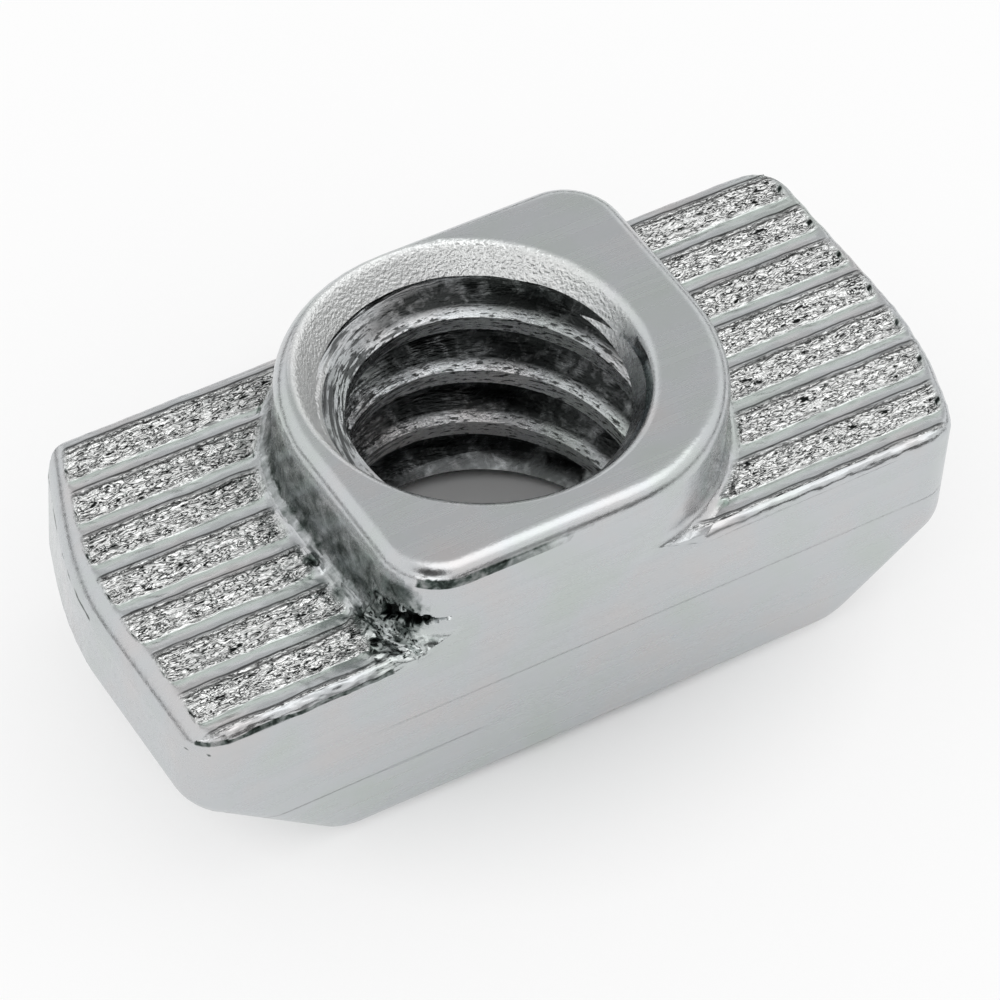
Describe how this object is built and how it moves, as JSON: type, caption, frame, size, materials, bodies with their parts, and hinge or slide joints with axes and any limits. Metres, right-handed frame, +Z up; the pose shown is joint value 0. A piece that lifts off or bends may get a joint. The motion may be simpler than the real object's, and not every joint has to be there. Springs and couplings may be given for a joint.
{
  "type": "t-slot nut",
  "caption": "Drop-in T-slot nut: short bar with sloping ends, grooved wings and a raised boss with two round corners, threaded through.",
  "frame": {"origin": "middle of the flat bottom, on the axis of the threaded hole", "axes": "+X along the nut, +Y across it, +Z up through the threaded hole, towards the boss"},
  "size_m": [0.0154, 0.0069, 0.0054],
  "materials": {
    "zinc_plated_steel": "bright zinc plate over cold-forged steel, satin, faint drawing marks along the nut"
  },
  "bodies": {
    "root": {"nut_body": "zinc_plated_steel"}
  },
  "joints": []
}
